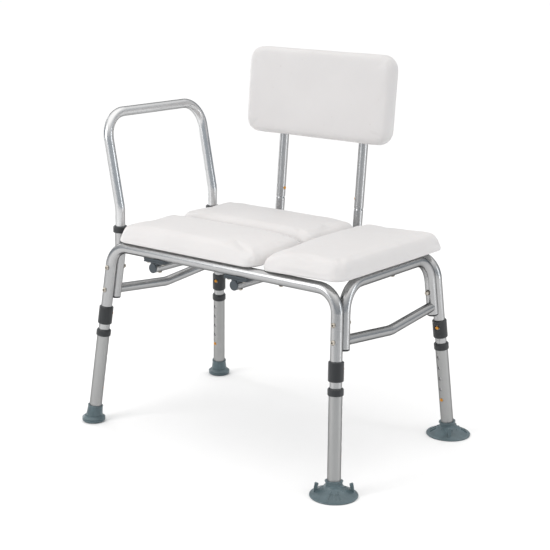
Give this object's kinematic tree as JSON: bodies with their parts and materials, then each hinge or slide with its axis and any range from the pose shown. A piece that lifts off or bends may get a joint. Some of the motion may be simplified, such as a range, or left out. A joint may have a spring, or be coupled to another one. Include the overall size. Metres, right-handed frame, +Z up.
{
  "type": "transfer_bench",
  "caption": "Bath transfer bench with padded seat cushions, a padded back rest, one armrest, adjustable legs, rubber tips and suction cups",
  "frame": {"origin": "on the floor, at the centre of the bench's bounding box", "axes": "+X along the seat away from the armrest, +Y towards the back rest, +Z up"},
  "size_m": [0.7752, 0.5971, 0.8589],
  "materials": {
    "tube_silver": "satin anodised",
    "charcoal_plastic": "fine moulded texture",
    "slate_plastic": "moulded, slightly glossy",
    "white_plastic": "moulded, satin white",
    "grey_rubber": "matt rubber",
    "pad_vinyl": "vinyl-coated fabric, white, with a satin sheen",
    "button_brass": "warm orange-gold, lightly worn",
    "zinc_bolt": "zinc plated"
  },
  "bodies": {
    "frame": {"front_frame_tube": "tube_silver", "rear_frame_tube": "tube_silver", "right_side_tube": "tube_silver", "front_arm_socket": "tube_silver", "rear_arm_socket": "tube_silver", "left_brace": "tube_silver", "right_brace": "tube_silver", "brace_end_plugs": "charcoal_plastic", "tube_end_caps": "charcoal_plastic", "frame_bolts": "zinc_bolt", "acorn_nuts": "zinc_bolt", "left_back_tube": "tube_silver", "right_back_tube": "tube_silver", "back_tube_plugs": "slate_plastic", "tube_saddles": "slate_plastic", "saddle_bolts": "zinc_bolt", "long_seat_screws": "zinc_bolt", "short_seat_screws": "zinc_bolt", "front_seat_pad": "pad_vinyl", "rear_seat_pad": "pad_vinyl", "end_seat_pad": "pad_vinyl", "front_seat_board": "white_plastic", "rear_seat_board": "white_plastic", "end_seat_board": "white_plastic", "arm_socket_collars": "charcoal_plastic", "leg_joint_sleeves": "charcoal_plastic", "front_left_inner_leg": "tube_silver", "front_right_inner_leg": "tube_silver", "rear_left_inner_leg": "tube_silver", "rear_right_inner_leg": "tube_silver"},
    "front_left_leg": {"front_left_outer_leg": "tube_silver", "front_left_leg_collar": "charcoal_plastic", "front_left_rubber_tip": "grey_rubber"},
    "front_left_height_button_body": {"front_left_height_button": "button_brass"},
    "front_left_joint_button_body": {"front_left_joint_button": "button_brass"},
    "front_right_leg": {"front_right_outer_leg": "tube_silver", "front_right_leg_collar": "charcoal_plastic", "front_right_suction_cup": "grey_rubber"},
    "front_right_height_button_body": {"front_right_height_button": "button_brass"},
    "front_right_joint_button_body": {"front_right_joint_button": "button_brass"},
    "rear_left_leg": {"rear_left_outer_leg": "tube_silver", "rear_left_leg_collar": "charcoal_plastic", "rear_left_rubber_tip": "grey_rubber"},
    "rear_left_height_button_body": {"rear_left_height_button": "button_brass"},
    "rear_left_joint_button_body": {"rear_left_joint_button": "button_brass"},
    "rear_right_leg": {"rear_right_outer_leg": "tube_silver", "rear_right_leg_collar": "charcoal_plastic", "rear_right_suction_cup": "grey_rubber"},
    "rear_right_height_button_body": {"rear_right_height_button": "button_brass"},
    "rear_right_joint_button_body": {"rear_right_joint_button": "button_brass"},
    "left_back_button_body": {"left_back_button": "button_brass"},
    "right_back_button_body": {"right_back_button": "button_brass"},
    "back_rest": {"left_back_post": "tube_silver", "right_back_post": "tube_silver", "back_post_caps": "charcoal_plastic", "back_pad": "pad_vinyl", "back_board": "white_plastic", "back_screws": "zinc_bolt"},
    "armrest": {"armrest_tube": "tube_silver"}
  },
  "joints": [
    {"name": "front_left_leg_height", "type": "slide", "parent": "frame", "child": "front_left_leg", "axis": [-0.0764, -0.0973, -0.9923], "range_m": [0, 0.104]},
    {"name": "front_left_height_button_press", "type": "slide", "parent": "frame", "child": "front_left_height_button_body", "axis": [-0.7749, -0.6205, 0.1205], "range_m": [0, 0.0035], "stiffness_N_per_m": 800},
    {"name": "front_left_joint_button_press", "type": "slide", "parent": "frame", "child": "front_left_joint_button_body", "axis": [-0.6001, -0.7903, 0.1237], "range_m": [0, 0.0035], "stiffness_N_per_m": 800},
    {"name": "front_right_leg_height", "type": "slide", "parent": "frame", "child": "front_right_leg", "axis": [0.0764, -0.0973, -0.9923], "range_m": [0, 0.104]},
    {"name": "front_right_height_button_press", "type": "slide", "parent": "frame", "child": "front_right_height_button_body", "axis": [-0.7749, -0.6321, 0.0024], "range_m": [0, 0.0035], "stiffness_N_per_m": 800},
    {"name": "front_right_joint_button_press", "type": "slide", "parent": "frame", "child": "front_right_joint_button_body", "axis": [-0.6001, -0.7993, 0.0322], "range_m": [0, 0.0035], "stiffness_N_per_m": 800},
    {"name": "rear_left_leg_height", "type": "slide", "parent": "frame", "child": "rear_left_leg", "axis": [-0.0764, 0.0973, -0.9923], "range_m": [0, 0.104]},
    {"name": "rear_left_height_button_press", "type": "slide", "parent": "frame", "child": "rear_left_height_button_body", "axis": [0.1388, 0.9866, 0.0861], "range_m": [0, 0.0035], "stiffness_N_per_m": 800},
    {"name": "rear_left_joint_button_press", "type": "slide", "parent": "frame", "child": "rear_left_joint_button_body", "axis": [-0.1042, 0.989, 0.105], "range_m": [0, 0.0035], "stiffness_N_per_m": 800},
    {"name": "rear_right_leg_height", "type": "slide", "parent": "frame", "child": "rear_right_leg", "axis": [0.0764, 0.0973, -0.9923], "range_m": [0, 0.104]},
    {"name": "rear_right_height_button_press", "type": "slide", "parent": "frame", "child": "rear_right_height_button_body", "axis": [0.1388, 0.9845, 0.1072], "range_m": [0, 0.0035], "stiffness_N_per_m": 800},
    {"name": "rear_right_joint_button_press", "type": "slide", "parent": "frame", "child": "rear_right_joint_button_body", "axis": [-0.1042, 0.9906, 0.0891], "range_m": [0, 0.0035], "stiffness_N_per_m": 800},
    {"name": "left_back_button_press", "type": "slide", "parent": "frame", "child": "left_back_button_body", "axis": [-1, 0, 0], "range_m": [0, 0.003], "stiffness_N_per_m": 800},
    {"name": "right_back_button_press", "type": "slide", "parent": "frame", "child": "right_back_button_body", "axis": [1, 0, 0], "range_m": [0, 0.003], "stiffness_N_per_m": 800},
    {"name": "back_rest_lift", "type": "slide", "parent": "frame", "child": "back_rest", "axis": [0, 0.0802, 0.9968], "range_m": [0, 0.055]},
    {"name": "armrest_lift", "type": "slide", "parent": "frame", "child": "armrest", "axis": [0, 0, 1], "range_m": [0, 0.05]}
  ]
}
